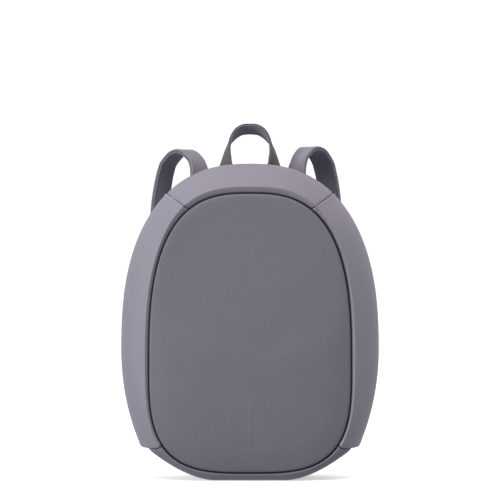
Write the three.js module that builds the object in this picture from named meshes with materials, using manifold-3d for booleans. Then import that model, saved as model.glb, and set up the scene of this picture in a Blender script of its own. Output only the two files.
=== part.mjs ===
// Egg-shaped city backpack that stands on its flat base, in millimetres.
// X runs to the right, Y to the back and Z up. The origin is the middle of the flat base.
import * as THREE from 'three';
import Module from 'manifold-3d';
import { mergeVertices } from 'three/addons/utils/BufferGeometryUtils.js';

// Body outline as seen from the front
const bodyWidth = 285;
const bodyHeight = 346;
const bodyDepth = 105;
const widestHeight = 141;
const shoulderFullness = 2.43;
const flankDrop = 200;
const flankFullness = 2;

// Base panel: flat in the middle, rising to the lower seam at both corners
const baseFlatWidth = 80;
const baseSeamHeight = 34;
const baseCurve = 1.667;
const cornerLedge = 9;
const cornerHem = 14;

// Front panel and the cord in the groove round it
const panelWidth = 220;
const panelTop = 312.4;
const panelBottom = 9;
const panelWidestHeight = 126;
const panelTopFullness = 2.8;
const panelBottomFullness = 3.3;
const panelWall = 3;
const panelDome = 10;
const pipingDiameter = 1.9;

// Back outline, zip tape and padded back panel
const backWidth = 260;
const backTop = 335;
const backBottom = 8;
const backTopFullness = 2.43;
const backBottomFullness = 2.6;
const zipTapeWidth = 8;
const zipTapeThickness = 1.2;
const backPadThickness = 8;
const zipPullWidth = 6;
const zipPullLength = 24;
const zipPullThickness = 2;
const zipPullAngle = 6;

// Leather bands
const bandWall = 2.2;
const upperSeamAngle = 63.7;
const upperSeamTilt = 36.3;
const topSlopeStart = 50;
const topSlopeFull = 74;
const gap = 0.3;

// Accent strip on the panel's middle line
const accentWidth = 1.2;
const accentLength = 53;
const accentThickness = 0.5;
const accentMiddle = 70.5;

// Grab handle
const handleWidth = 25;
const handleThickness = 3;
const handleSpan = 58;
const handleRise = 40;
const handleFootLength = 46;
const handleLean = 22;

// Shoulder straps, their sliders and the lower webbing. The two loops have taken different sets.
const strapWidth = 29;
const strapLeather = 2;
const strapLining = 2.5;
const leftStrapFoot = 50.5;
const leftStrapSpread = 49.5;
const leftStrapRise = 16;
const rightStrapFoot = 47;
const rightStrapSpread = 42.5;
const rightStrapRise = 19;
const strapFootDrop = 57;
const strapStandOff = 46;
const strapDrop = 237;
const sliderWidth = 36;
const sliderHeight = 24;
const sliderThickness = 3;
const sliderBar = 4;
const webbingWidth = 20;
const webbingThickness = 1.4;
const webbingSpacing = 176;
const webbingFootHeight = 42;
const webbingFootLength = 18;
const webbingClearance = 8;
const webbingTail = 44;

// Fineness of the surfaces
const roundSteps = 72;
const ribbonSteps = 44;
const accentSteps = 6;
const pipingSides = 6;

// Section of the top and side bands, from the piping groove to the widest line and on to the back edge.
// reach is the share of the way out from the groove, or from the back edge, to the widest line;
// depth is the share of the body's depth behind its foremost point, and topDepth the same on the
// middle of the top band, which slopes back more steeply from its crest.
const bandFront = [
  { reach: 0.00, depth: 0.125, topDepth: 0.125 },
  { reach: 0.06, depth: 0.096, topDepth: 0.094 },
  { reach: 0.19, depth: 0.078, topDepth: 0.078 },
  { reach: 0.31, depth: 0.097, topDepth: 0.122 },
  { reach: 0.48, depth: 0.142, topDepth: 0.196 },
  { reach: 0.66, depth: 0.212, topDepth: 0.284 },
  { reach: 0.83, depth: 0.316, topDepth: 0.382 },
  { reach: 0.95, depth: 0.465, topDepth: 0.500 },
];
const bandBack = [
  { reach: 1.00, depth: 0.660, topDepth: 0.660 },
  { reach: 0.87, depth: 0.790, topDepth: 0.790 },
  { reach: 0.48, depth: 0.890, topDepth: 0.890 },
  { reach: 0.00, depth: 0.925, topDepth: 0.925 },
];

// Section of the base panel, in the same columns
const baseFront = [
  { reach: 0.00, depth: 0.125 },
  { reach: 0.05, depth: 0.098 },
  { reach: 0.25, depth: 0.086 },
  { reach: 0.55, depth: 0.105 },
  { reach: 0.85, depth: 0.160 },
  { reach: 1.00, depth: 0.240 },
];
const baseBack = [
  { reach: 1.00, depth: 0.820 },
  { reach: 0.72, depth: 0.890 },
  { reach: 0.00, depth: 0.925 },
];

// Dome of the front panel: share of its half width or height, and share of its full rise
const panelSection = [
  { share: 0.30, rise: 0.98 },
  { share: 0.58, rise: 0.90 },
  { share: 0.78, rise: 0.74 },
  { share: 0.90, rise: 0.50 },
  { share: 0.97, rise: 0.22 },
  { share: 1.00, rise: 0.00 },
];

// Crown of the padded back: share of its half width or height, and share of its thickness
const backSection = [
  { share: 0.45, rise: 1.00 },
  { share: 0.86, rise: 1.00 },
  { share: 0.95, rise: 0.72 },
  { share: 1.00, rise: 0.25 },
];

// Half of the grab handle, from the middle of its arch to its sewn foot. across is a share of half the
// span, up of the rise above the body, back of the lean, and turn the band's twist in degrees from
// lying along X; dip is how far the front edge stands above the back edge, as a share of the width.
const handleRows = [
  { across: 0.00, up: 1.02, back: 1.00, turn: 90, dip: 0.39 },
  { across: 0.30, up: 1.00, back: 0.98, turn: 90, dip: 0.39 },
  { across: 0.52, up: 0.91, back: 0.94, turn: 90, dip: 0.38 },
  { across: 0.65, up: 0.81, back: 0.88, turn: 90, dip: 0.31 },
  { across: 0.76, up: 0.69, back: 0.79, turn: 89, dip: 0.16 },
  { across: 0.83, up: 0.56, back: 0.69, turn: 86, dip: 0.04 },
  { across: 0.89, up: 0.40, back: 0.56, turn: 81, dip: 0.00 },
  { across: 0.93, up: 0.20, back: 0.39, turn: 72, dip: 0.00 },
  { across: 0.94, up: -0.03, back: 0.21, turn: 59, dip: 0.00 },
];
const handleFoot = [
  { across: 0.81, down: 0.46, back: 0.02, turn: 22 },
  { across: 0.67, down: 0.74, back: 0.00, turn: 0 },
  { across: 0.64, down: 1.00, back: 0.00, turn: 0 },
];

// Shoulder strap, from its sewn foot over the loop and down to the slider. across is a share of the
// spread from the foot, up of the loop's rise above the body or, below it, of the foot's or the long
// drop, back of the stand-off. leftTurn and rightTurn are each band's twist in degrees from lying
// along X.
const strapFoot = [
  { across: 0.06, down: 1.00, back: 0.00, leftTurn: 0, rightTurn: 0 },
  { across: 0.06, down: 0.72, back: 0.00, leftTurn: 2, rightTurn: 2 },
  { across: 0.08, down: 0.42, back: 0.03, leftTurn: 24, rightTurn: 24 },
  { across: 0.11, down: 0.19, back: 0.12, leftTurn: 50, rightTurn: 50 },
];
const strapLoop = [
  { across: 0.165, up: 0.09, back: 0.21, leftTurn: 56, rightTurn: 56 },
  { across: 0.25, up: 0.52, back: 0.31, leftTurn: 56, rightTurn: 56 },
  { across: 0.385, up: 0.90, back: 0.43, leftTurn: 56, rightTurn: 53 },
  { across: 0.50, up: 1.00, back: 0.53, leftTurn: 56, rightTurn: 48 },
  { across: 0.65, up: 0.84, back: 0.66, leftTurn: 56, rightTurn: 42 },
  { across: 0.77, up: 0.47, back: 0.77, leftTurn: 56, rightTurn: 39 },
  { across: 0.85, up: 0.13, back: 0.84, leftTurn: 56, rightTurn: 38 },
  { across: 0.90, up: -0.27, back: 0.90, leftTurn: 56, rightTurn: 38 },
];
const strapFall = [
  { across: 0.95, down: 0.06, back: 0.95, leftTurn: 55, rightTurn: 38 },
  { across: 1.03, down: 0.17, back: 1.00, leftTurn: 52, rightTurn: 37 },
  { across: 1.04, down: 0.28, back: 1.00, leftTurn: 44, rightTurn: 34 },
  { across: 1.03, down: 0.46, back: 0.95, leftTurn: 26, rightTurn: 24 },
  { across: 1.00, down: 0.68, back: 0.80, leftTurn: 10, rightTurn: 10 },
  { across: 0.98, down: 0.86, back: 0.59, leftTurn: 0, rightTurn: 0 },
  { across: 0.97, down: 0.93, back: 0.50, leftTurn: 0, rightTurn: 0 },
  { across: 0.97, down: 1.00, back: 0.42, leftTurn: 0, rightTurn: 0 },
];
const leftStrap = {
  name: 'left',
  side: -1,
  turn: 'leftTurn',
  foot: leftStrapFoot,
  spread: leftStrapSpread,
  rise: leftStrapRise,
};
const rightStrap = {
  name: 'right',
  side: 1,
  turn: 'rightTurn',
  foot: rightStrapFoot,
  spread: rightStrapSpread,
  rise: rightStrapRise,
};
const straps = [leftStrap, rightStrap];

const half = 0.5;
const degree = Math.PI / 180;
const farAway = 4 * bodyHeight;
const searchSteps = 40;
const frontPlane = -bodyDepth * half;
const backPlane = bodyDepth * half;
const hubHeight = panelWidestHeight;
const padFront = backPlane - backPadThickness;

const wasm = await Module();
wasm.setup();

const smoothLeather = { color: 0x8f8d98, roughness: 0.55, metalness: 0 };
const grainLeather = { color: 0x73717e, roughness: 0.75, metalness: 0 };
const darkCord = { color: 0x17161c, roughness: 0.7, metalness: 0 };
const darkLining = { color: 0x47454f, roughness: 0.9, metalness: 0 };
const padMesh = { color: 0x3b3a42, roughness: 0.95, metalness: 0 };
const darkPlastic = { color: 0x1d1d21, roughness: 0.45, metalness: 0 };
const paleAccent = { color: 0x8a8890, roughness: 0.4, metalness: 0.3 };

const group = new THREE.Group();

// Outlines seen from the front. Each tells whether a point lies inside it.
function egg(halfWidth, middle, top, bottom, topFullness, bottomFullness) {
  return (x, z) => {
    const above = z > middle;
    const power = above ? topFullness : bottomFullness;
    const span = above ? top - middle : middle - bottom;
    return Math.pow(Math.abs(x) / halfWidth, power) + Math.pow(Math.abs(z - middle) / span, power) < 1;
  };
}

function bodyOutline(inset) {
  return egg(bodyWidth * half - inset, widestHeight, bodyHeight, widestHeight - flankDrop,
    shoulderFullness, flankFullness);
}

function halfWidthAt(height) {
  const fall = (widestHeight - height) / flankDrop;
  return bodyWidth * half * Math.pow(1 - Math.pow(fall, flankFullness), 1 / flankFullness);
}

function baseOutline() {
  const inner = baseFlatWidth * half;
  const outer = halfWidthAt(baseSeamHeight) - cornerLedge;
  const inBody = bodyOutline(cornerLedge);
  return (x, z) => {
    const out = Math.max(Math.abs(x) - inner, 0) / (outer - inner);
    return inBody(x, z) && z > baseSeamHeight * Math.pow(out, baseCurve);
  };
}

function panelOutline(inset) {
  return egg(panelWidth * half - inset, panelWidestHeight, panelTop - inset, panelBottom + inset,
    panelTopFullness, panelBottomFullness);
}

function backOutline(inset) {
  return egg(backWidth * half - inset, widestHeight, backTop - inset, backBottom + inset,
    backTopFullness, backBottomFullness);
}

function reachOf(inside, angle) {
  let near = 0;
  let far = farAway;
  for (let i = 0; i < searchSteps; i += 1) {
    const middle = (near + far) * half;
    if (inside(middle * Math.cos(angle), hubHeight + middle * Math.sin(angle))) near = middle;
    else far = middle;
  }
  return (near + far) * half;
}

function pointAt(angle, reach, depth) {
  return new THREE.Vector3(reach * Math.cos(angle), depth, hubHeight + reach * Math.sin(angle));
}

function everyAngle(make) {
  return Array.from({ length: roundSteps }, (_, i) => make((i / roundSteps) * 2 * Math.PI));
}

// Depth of a section's row at an angle round the bag: the top band's own slope comes in gradually
function depthOf(row, angle) {
  const climb = Math.sin(angle);
  const start = Math.sin(topSlopeStart * degree);
  const full = Math.sin(topSlopeFull * degree);
  const top = 'topDepth' in row ? row.topDepth - row.depth : 0;
  return frontPlane + bodyDepth * (row.depth + top * THREE.MathUtils.smoothstep(climb, start, full));
}

// A closed skin over loops of equal count. A ring joins its last loop to its first, and any other
// skin closes both ends with a fan.
function skin(loops, isRing) {
  const count = loops[0].length;
  const places = loops.flat();
  const faces = [];
  const joins = isRing ? loops.length : loops.length - 1;
  for (let i = 0; i < joins; i += 1) {
    const here = i * count;
    const there = ((i + 1) % loops.length) * count;
    for (let j = 0; j < count; j += 1) {
      const next = (j + 1) % count;
      faces.push(here + j, there + j, there + next, here + j, there + next, here + next);
    }
  }
  if (!isRing) {
    addFan(places, faces, loops[0], 0, false);
    addFan(places, faces, loops[loops.length - 1], (loops.length - 1) * count, true);
  }
  return faceOutward(places, faces);
}

function addFan(places, faces, loop, start, isLast) {
  const middle = new THREE.Vector3();
  loop.forEach((place) => middle.addScaledVector(place, 1 / loop.length));
  const hub = places.push(middle) - 1;
  for (let j = 0; j < loop.length; j += 1) {
    const here = start + j;
    const next = start + ((j + 1) % loop.length);
    faces.push(...(isLast ? [hub, next, here] : [hub, here, next]));
  }
}

function faceOutward(places, faces) {
  let volume = 0;
  for (let i = 0; i < faces.length; i += 3) {
    const [a, b, c] = faces.slice(i, i + 3).map((index) => places[index]);
    volume += a.dot(b.clone().cross(c));
  }
  const ordered = volume < 0 ? faces.slice().reverse() : faces;
  const geometry = new THREE.BufferGeometry();
  geometry.setAttribute('position', new THREE.Float32BufferAttribute(places.flatMap((p) => p.toArray()), 3));
  geometry.setIndex(ordered);
  return geometry;
}

// Joining and cutting of closed solids
function solidOf(geometry) {
  const bare = geometry.clone();
  bare.deleteAttribute('normal');
  bare.deleteAttribute('uv');
  const merged = mergeVertices(bare);
  return new wasm.Manifold(new wasm.Mesh({
    numProp: 3,
    vertProperties: new Float32Array(merged.attributes.position.array),
    triVerts: new Uint32Array(merged.index.array),
  }));
}

function geometryOf(solid) {
  const mesh = solid.getMesh();
  const geometry = new THREE.BufferGeometry();
  geometry.setAttribute('position', new THREE.Float32BufferAttribute(mesh.vertProperties, 3));
  geometry.setIndex(Array.from(mesh.triVerts));
  return geometry;
}

function boxSolid(width, depth, height, x, y, z) {
  return solidOf(new THREE.BoxGeometry(width, depth, height).translate(x, y, z));
}

// The half of space on one side of an upper seam. side is -1 for the left seam and 1 for the right;
// above keeps the top band's half.
function seamHalf(side, above) {
  const angle = upperSeamAngle * degree;
  const reach = reachOf(bodyOutline(0), angle);
  const shift = (farAway + gap) * half * (above ? 1 : -1);
  const box = new THREE.BoxGeometry(farAway, farAway, farAway);
  box.translate(0, 0, shift);
  box.rotateY(-side * upperSeamTilt * degree);
  box.translate(side * reach * Math.cos(angle), 0, hubHeight + reach * Math.sin(angle));
  return solidOf(box);
}

function addPiece(name, geometry, look) {
  const drawn = geometry.clone();
  drawn.computeVertexNormals();
  const mesh = new THREE.Mesh(drawn, new THREE.MeshStandardMaterial(look));
  mesh.name = name;
  group.add(mesh);
}

// The outer line of a band's section at an angle round the bag
function outerSection(angle, rim, outline, frontRows, backRows) {
  const widest = reachOf(outline, angle);
  const back = reachOf(backOutline(0), angle);
  return [
    ...frontRows.map((row) => [rim + row.reach * (widest - rim), depthOf(row, angle)]),
    ...backRows.map((row) => [back + row.reach * (widest - back), depthOf(row, angle)]),
  ];
}

// That line, and the same line set in by the wall
function bandSection(angle, outline, frontRows, backRows, wall) {
  const rim = reachOf(panelOutline(0), angle) + pipingDiameter * half + gap;
  const outer = outerSection(angle, rim, outline, frontRows, backRows);
  const inner = outer.map(([reach, depth], i) => {
    const before = outer[Math.max(i - 1, 0)];
    const after = outer[Math.min(i + 1, outer.length - 1)];
    const along = new THREE.Vector2(after[0] - before[0], after[1] - before[1]).normalize();
    return [reach - wall * along.y, depth + wall * along.x];
  });
  const kept = inner.filter((_, i) => i % 2 === 0 || i === inner.length - 1);
  return [...outer, ...kept.reverse()];
}

function bandShell(outline, frontRows, backRows) {
  return skin(everyAngle((angle) => {
    const section = bandSection(angle, outline, frontRows, backRows, bandWall);
    return section.map(([reach, depth]) => pointAt(angle, reach, depth));
  }), true);
}

// The turned-in edge at the foot of each side band, which lies on the base panel's rim
function cornerHemShell() {
  const rows = bandFront.filter((row) => row.reach > half);
  return skin(everyAngle((angle) => {
    const rim = reachOf(panelOutline(0), angle);
    const outer = outerSection(angle, rim, bodyOutline(0), rows, bandBack.slice(0, -1));
    const inner = outer.map(([reach, depth]) => [reach - cornerHem, depth]).reverse();
    return [...outer, ...inner].map(([reach, depth]) => pointAt(angle, reach, depth));
  }), true);
}

function addLeatherBands() {
  const ring = solidOf(bandShell(bodyOutline(0), bandFront, bandBack));
  const hemBottom = baseSeamHeight + gap;
  const hem = solidOf(cornerHemShell())
    .intersect(boxSolid(farAway, farAway, bandWall, 0, 0, hemBottom + bandWall * half));
  const whole = ring.add(hem);
  addPiece('gusset_top', geometryOf(ring.intersect(seamHalf(-1, true)).intersect(seamHalf(1, true))),
    smoothLeather);
  for (const [name, side] of [['gusset_left', -1], ['gusset_right', 1]]) {
    const quarter = boxSolid(farAway, farAway, farAway, side * farAway * half, 0, hemBottom + farAway * half);
    addPiece(name, geometryOf(whole.intersect(quarter).intersect(seamHalf(side, false))), smoothLeather);
  }
}

function addBasePanel() {
  const shell = solidOf(bandShell(baseOutline(), baseFront, baseBack));
  const below = boxSolid(farAway, farAway, farAway, 0, 0, baseSeamHeight - farAway * half);
  addPiece('base_panel', geometryOf(shell.intersect(below)), smoothLeather);
}

// Front panel
function panelEdgeDepth() {
  return frontPlane + panelDome;
}

function panelLoop(outline, row, depth) {
  return everyAngle((angle) => pointAt(angle, row.share * reachOf(outline, angle), depth));
}

function addFrontPanel() {
  const outline = panelOutline(pipingDiameter * half + gap);
  const behind = panelOutline(pipingDiameter * half + gap + panelWall);
  const edge = panelEdgeDepth();
  const front = panelSection.map((row) => panelLoop(outline, row, edge - row.rise * panelDome));
  const back = panelSection.map((row) => panelLoop(behind, row, edge - row.rise * panelDome + panelWall));
  addPiece('front_panel', skin([...back, ...front.reverse()], false), grainLeather);
}

function addPiping() {
  const outline = panelOutline(0);
  const depth = panelEdgeDepth() + pipingDiameter * half;
  const radius = pipingDiameter * half;
  addPiece('front_piping', skin(everyAngle((angle) => {
    const reach = reachOf(outline, angle);
    return Array.from({ length: pipingSides }, (_, i) => {
      const turn = (i / pipingSides) * 2 * Math.PI;
      return pointAt(angle, reach + radius * Math.cos(turn), depth + radius * Math.sin(turn));
    });
  }), true), darkCord);
}

// Depth of the dome's face on the panel's middle line at a height
function domeDepthAt(height) {
  const inset = pipingDiameter * half + gap;
  const reach = hubHeight - panelBottom - inset;
  const share = Math.abs(hubHeight - height) / reach;
  const rows = [{ share: 0, rise: panelSection[0].rise }, ...panelSection];
  const outer = rows.findIndex((row) => row.share >= share);
  const a = rows[Math.max(outer - 1, 0)];
  const b = rows[outer];
  const part = b.share > a.share ? (share - a.share) / (b.share - a.share) : 0;
  return panelEdgeDepth() - panelDome * (a.rise + part * (b.rise - a.rise));
}

function addAccentStrip() {
  const loops = Array.from({ length: accentSteps + 1 }, (_, i) => {
    const z = accentMiddle + (i / accentSteps - half) * accentLength;
    const behind = domeDepthAt(z) - gap;
    const front = behind - accentThickness;
    const side = accentWidth * half;
    return [[-side, behind], [side, behind], [side, front], [-side, front]]
      .map(([x, y]) => new THREE.Vector3(x, y, z));
  });
  addPiece('accent_strip', skin(loops, false), paleAccent);
}

// Back
function addZipBand() {
  const outer = backOutline(gap);
  const inner = backOutline(zipTapeWidth);
  const front = frontPlane + bandBack[bandBack.length - 1].depth * bodyDepth;
  addPiece('zip_band', skin(everyAngle((angle) => {
    const out = reachOf(outer, angle);
    const into = reachOf(inner, angle);
    return [[out, front], [into, front], [into, front + zipTapeThickness], [out, front + zipTapeThickness]]
      .map(([reach, depth]) => pointAt(angle, reach, depth));
  }), true), darkLining);
}

function addZipPull() {
  const angle = zipPullAngle * degree;
  const reach = reachOf(backOutline(zipTapeWidth * half), angle);
  const place = pointAt(angle, reach, 0);
  const tapeBack = frontPlane + bandBack[bandBack.length - 1].depth * bodyDepth + zipTapeThickness;
  const geometry = new THREE.BoxGeometry(zipPullWidth, zipPullThickness, zipPullLength);
  geometry.translate(place.x, tapeBack + gap + zipPullThickness * half, place.z);
  addPiece('zip_pull', geometry, darkPlastic);
}

function addBackPanel() {
  const outline = backOutline(zipTapeWidth + gap);
  const front = [backSection[0], backSection[backSection.length - 1]]
    .map((row) => panelLoop(outline, row, padFront));
  const back = backSection.map((row) => panelLoop(outline, row, padFront + row.rise * backPadThickness));
  addPiece('back_panel', skin([...front, ...back.reverse()], false), padMesh);
}

function lineOf(rows) {
  return new THREE.CatmullRomCurve3(rows.map((row) => row.place), false, 'centripetal');
}

// A flat band along a smooth line. Each row has its place, and the way its width runs; from and to
// are the distances of its two faces from that line.
function ribbon(rows, width, from, to, steps) {
  const line = lineOf(rows);
  const ways = new THREE.CatmullRomCurve3(rows.map((row) => row.way), false, 'centripetal');
  const loops = Array.from({ length: steps + 1 }, (_, i) => {
    const share = i / steps;
    const along = line.getTangent(share);
    const face = along.clone().cross(ways.getPoint(share)).normalize();
    const side = face.clone().cross(along).normalize();
    const corner = (across, off) => line.getPoint(share)
      .addScaledVector(side, across * width * half)
      .addScaledVector(face, off);
    return [corner(-1, from), corner(1, from), corner(1, to), corner(-1, to)];
  });
  return skin(loops, false);
}

function wayOf(turn, dip) {
  const angle = turn * degree;
  return new THREE.Vector3(Math.cos(angle), Math.sin(angle), -dip).normalize();
}

function handleHalf() {
  const footDepth = backPlane + gap + handleThickness * half;
  const across = handleSpan * half;
  const arch = handleRows.map((row) => ({
    place: new THREE.Vector3(row.across * across, footDepth + row.back * handleLean,
      bodyHeight + row.up * handleRise),
    way: wayOf(row.turn, row.dip),
  }));
  const foot = handleFoot.map((row) => ({
    place: new THREE.Vector3(row.across * across, footDepth + row.back * handleLean,
      bodyHeight - row.down * handleFootLength),
    way: wayOf(row.turn, 0),
  }));
  return [...arch, ...foot];
}

function addHandle() {
  const right = handleHalf();
  const left = right.slice(1).reverse().map(({ place, way }) => ({
    place: new THREE.Vector3(-place.x, place.y, place.z),
    way: new THREE.Vector3(-way.x, way.y, way.z),
  }));
  const thick = handleThickness * half;
  addPiece('top_handle', ribbon([...left, ...right], handleWidth, -thick, thick, ribbonSteps), smoothLeather);
}

// The straps. The line runs between the leather and the lining.
function strapRows({ side, turn, foot, spread, rise }) {
  const start = backPlane + gap + strapLeather + gap * half;
  const row = (r, up) => {
    const angle = r[turn] * degree;
    const x = side * (foot + r.across * spread);
    return {
      place: new THREE.Vector3(x, start + r.back * strapStandOff, bodyHeight + up),
      way: new THREE.Vector3(-side * Math.cos(angle), Math.sin(angle), 0),
    };
  };
  return [
    ...strapFoot.map((r) => row(r, -r.down * strapFootDrop)),
    ...strapLoop.map((r) => row(r, r.up * rise)),
    ...strapFall.map((r) => row(r, -r.down * strapDrop)),
  ];
}

function addStraps() {
  for (const strap of straps) {
    const rows = strapRows(strap);
    const near = gap * half * strap.side;
    addPiece(`shoulder_strap_${strap.name}`,
      ribbon(rows, strapWidth, near, near + strapLeather * strap.side, ribbonSteps), smoothLeather);
    addPiece(`strap_lining_${strap.name}`,
      ribbon(rows, strapWidth, -near, -near - strapLining * strap.side, ribbonSteps), darkLining);
  }
}

// Where a strap ends, and the ways down along it and back from it
function strapEnd(strap) {
  const line = lineOf(strapRows(strap));
  const place = line.getPoint(1);
  const down = line.getTangent(1).setX(0).normalize();
  const rear = new THREE.Vector3(0, -down.z, down.y);
  const middle = place.clone().addScaledVector(down, gap + sliderHeight * half);
  return { middle, down, rear };
}

function sliderSolid({ middle, down }) {
  const tilt = Math.atan2(down.y, -down.z);
  const plate = (width, depth, height, z) => {
    const box = new THREE.BoxGeometry(width, depth, height).translate(0, 0, z);
    return solidOf(box.rotateX(tilt).translate(...middle.toArray()));
  };
  const slotHeight = (sliderHeight - 3 * sliderBar) * half;
  const slotOffset = (slotHeight + sliderBar) * half;
  const slot = (z) => plate(sliderWidth - 2 * sliderBar, 2 * sliderThickness, slotHeight, z);
  return plate(sliderWidth, sliderThickness, sliderHeight, 0)
    .subtract(slot(slotOffset))
    .subtract(slot(-slotOffset));
}

// The webbing is sewn to the back panel, runs up in front of the slider's lowest bar, turns through
// the slot over it and hangs down behind as a short tail.
function webbingRows(side, { middle, down, rear }) {
  const off = sliderThickness * half + gap + webbingThickness;
  const barTop = sliderHeight * half - sliderBar;
  const near = (along, back) => middle.clone().addScaledVector(down, along).addScaledVector(rear, back);
  const seat = backPlane + gap + webbingThickness * half;
  const foot = (up, back) => new THREE.Vector3(side * webbingSpacing * half, seat + back,
    webbingFootHeight + up);
  const places = [
    foot(0, 0),
    foot(webbingFootLength * half, 0),
    foot(webbingFootLength, webbingThickness * half),
    near(barTop + webbingClearance, -off),
    near(barTop, -off),
    near(barTop - off, 0),
    near(barTop, off),
    near(barTop + webbingClearance, off),
    near(barTop + webbingTail, off + webbingThickness),
  ];
  return places.map((place) => ({ place, way: new THREE.Vector3(-side, 0, 0) }));
}

function addLowerStraps() {
  for (const strap of straps) {
    const end = strapEnd(strap);
    const thick = webbingThickness * half;
    addPiece(`strap_adjuster_${strap.name}`, geometryOf(sliderSolid(end)), darkPlastic);
    addPiece(`lower_webbing_${strap.name}`,
      ribbon(webbingRows(strap.side, end), webbingWidth, -thick, thick, ribbonSteps), darkLining);
  }
}

addLeatherBands();
addBasePanel();
addFrontPanel();
addPiping();
addAccentStrip();
addZipBand();
addZipPull();
addBackPanel();
addHandle();
addStraps();
addLowerStraps();

export default group;
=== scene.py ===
import functools
import math
from collections import namedtuple

import bmesh
import bpy
import numpy as np
from mathutils import Matrix, Vector
from mathutils.bvhtree import BVHTree


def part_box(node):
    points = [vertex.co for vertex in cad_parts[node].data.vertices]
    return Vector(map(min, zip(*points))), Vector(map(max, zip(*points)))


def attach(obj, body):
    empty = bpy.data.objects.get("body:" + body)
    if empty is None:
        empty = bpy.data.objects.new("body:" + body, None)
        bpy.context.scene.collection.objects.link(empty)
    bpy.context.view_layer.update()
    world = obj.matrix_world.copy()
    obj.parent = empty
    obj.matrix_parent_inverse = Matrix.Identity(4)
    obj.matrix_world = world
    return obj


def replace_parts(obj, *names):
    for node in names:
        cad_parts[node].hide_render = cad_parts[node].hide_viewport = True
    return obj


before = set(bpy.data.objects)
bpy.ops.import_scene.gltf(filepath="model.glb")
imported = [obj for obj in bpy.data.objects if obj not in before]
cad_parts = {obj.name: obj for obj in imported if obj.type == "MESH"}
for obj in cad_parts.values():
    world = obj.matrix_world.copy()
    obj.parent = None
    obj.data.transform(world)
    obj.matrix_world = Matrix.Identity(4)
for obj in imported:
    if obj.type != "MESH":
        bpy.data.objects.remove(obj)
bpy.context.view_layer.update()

# Studio: a white table that glows a little, in even light that is brighter behind, above and to the
# right. A large soft light hangs high in front, and a stronger one stands low at the left. The camera
# stands level, three metres in front, at the height of the picture's middle.
MM = 0.001
CAMERA_DISTANCE = 3.0
CAMERA_HEIGHT = 250.6 * MM
WIDEST_DEPTH = 16.8 * MM
PICTURE_WIDTH = 552.5 * MM
SENSOR = 36
SURROUND = 0.86
SURROUND_SLOPE = {"X": 0.10, "Y": 0.20, "Z": 0.14}
TABLE_HALF = 12.0
TABLE_WHITE = 0.94
TABLE_GLOW = 0.40
LIGHT_AIM = Vector((0, 0, 0.2))

scene = bpy.context.scene
scene.view_settings.view_transform = "Standard"

camera = bpy.data.objects.new("camera", bpy.data.cameras.new("camera"))
camera.location = (0, -CAMERA_DISTANCE, CAMERA_HEIGHT)
camera.rotation_euler = (math.radians(90), 0, 0)
camera.data.sensor_width = SENSOR
camera.data.lens = SENSOR * (CAMERA_DISTANCE + WIDEST_DEPTH) / PICTURE_WIDTH
scene.collection.objects.link(camera)
scene.camera = camera


class Wire:
    """A socket of a finish's nodes that Python sums can use."""

    def __init__(self, tree, socket=None):
        self.tree = tree
        self.socket = socket

    def node(self, kind, settings=(), inputs=(), output=0):
        made = self.tree.nodes.new(kind)
        for name, value in dict(settings).items():
            setattr(made, name, value)
        for name, value in dict(inputs).items():
            if isinstance(value, Wire):
                self.tree.links.new(value.socket, made.inputs[name])
            else:
                made.inputs[name].default_value = value
        return Wire(self.tree, made.outputs[output])

    def beside(self, output):
        """Another output of the node that this socket belongs to."""
        return Wire(self.tree, self.socket.node.outputs[output])

    def sum(self, operation, a, b):
        return self.node("ShaderNodeMath", {"operation": operation}, {0: a, 1: b})

    def __add__(self, other):
        return self.sum("ADD", self, other)

    def __radd__(self, other):
        return self.sum("ADD", other, self)

    def __rsub__(self, other):
        return self.sum("SUBTRACT", other, self)

    def __mul__(self, other):
        return self.sum("MULTIPLY", self, other)


world = bpy.data.worlds.new("studio_light")
world.use_nodes = True
scene.world = world
room = Wire(world.node_tree)
way = room.node("ShaderNodeSeparateXYZ", (), {"Vector": room.node("ShaderNodeTexCoord")})
glow = SURROUND + sum(way.beside(axis) * slope for axis, slope in SURROUND_SLOPE.items())
sky = world.node_tree.nodes["Background"]
sky.inputs["Color"].default_value = (1, 1, 1, 1)
world.node_tree.links.new(glow.socket, sky.inputs["Strength"])


def soft_light(name, place, size, power, tint):
    light = bpy.data.lights.new(name, "AREA")
    light.shape = "DISK"
    light.size = size
    light.energy = power
    light.color = tint
    lamp = bpy.data.objects.new(name, light)
    lamp.location = place
    lamp.rotation_euler = (LIGHT_AIM - Vector(place)).to_track_quat("-Z", "Y").to_euler()
    scene.collection.objects.link(lamp)


soft_light("high_light", place=(0.10, -1.15, 2.25), size=1.2, power=49, tint=(1.0, 0.96, 0.91))
soft_light("left_light", place=(-2.27, -1.26, 0.36), size=1.2, power=70, tint=(0.97, 0.98, 1.0))

table_form = bmesh.new()
bmesh.ops.create_grid(table_form, x_segments=1, y_segments=1, size=TABLE_HALF)
table_mesh = bpy.data.meshes.new("white_table")
table_form.to_mesh(table_mesh)
table_form.free()
table = bpy.data.objects.new("white_table", table_mesh)
table.visible_diffuse = False
table.visible_glossy = False
scene.collection.objects.link(table)
table_finish = bpy.data.materials.new("white_table")
table_finish.use_nodes = True
table_shader = table_finish.node_tree.nodes["Principled BSDF"]
table_shader.inputs["Base Color"].default_value = (TABLE_WHITE, TABLE_WHITE, TABLE_WHITE, 1)
table_shader.inputs["Roughness"].default_value = 0.9
table_shader.inputs["Emission Color"].default_value = (1, 1, 1, 1)
table_shader.inputs["Emission Strength"].default_value = TABLE_GLOW
table_mesh.materials.append(table_finish)

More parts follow.
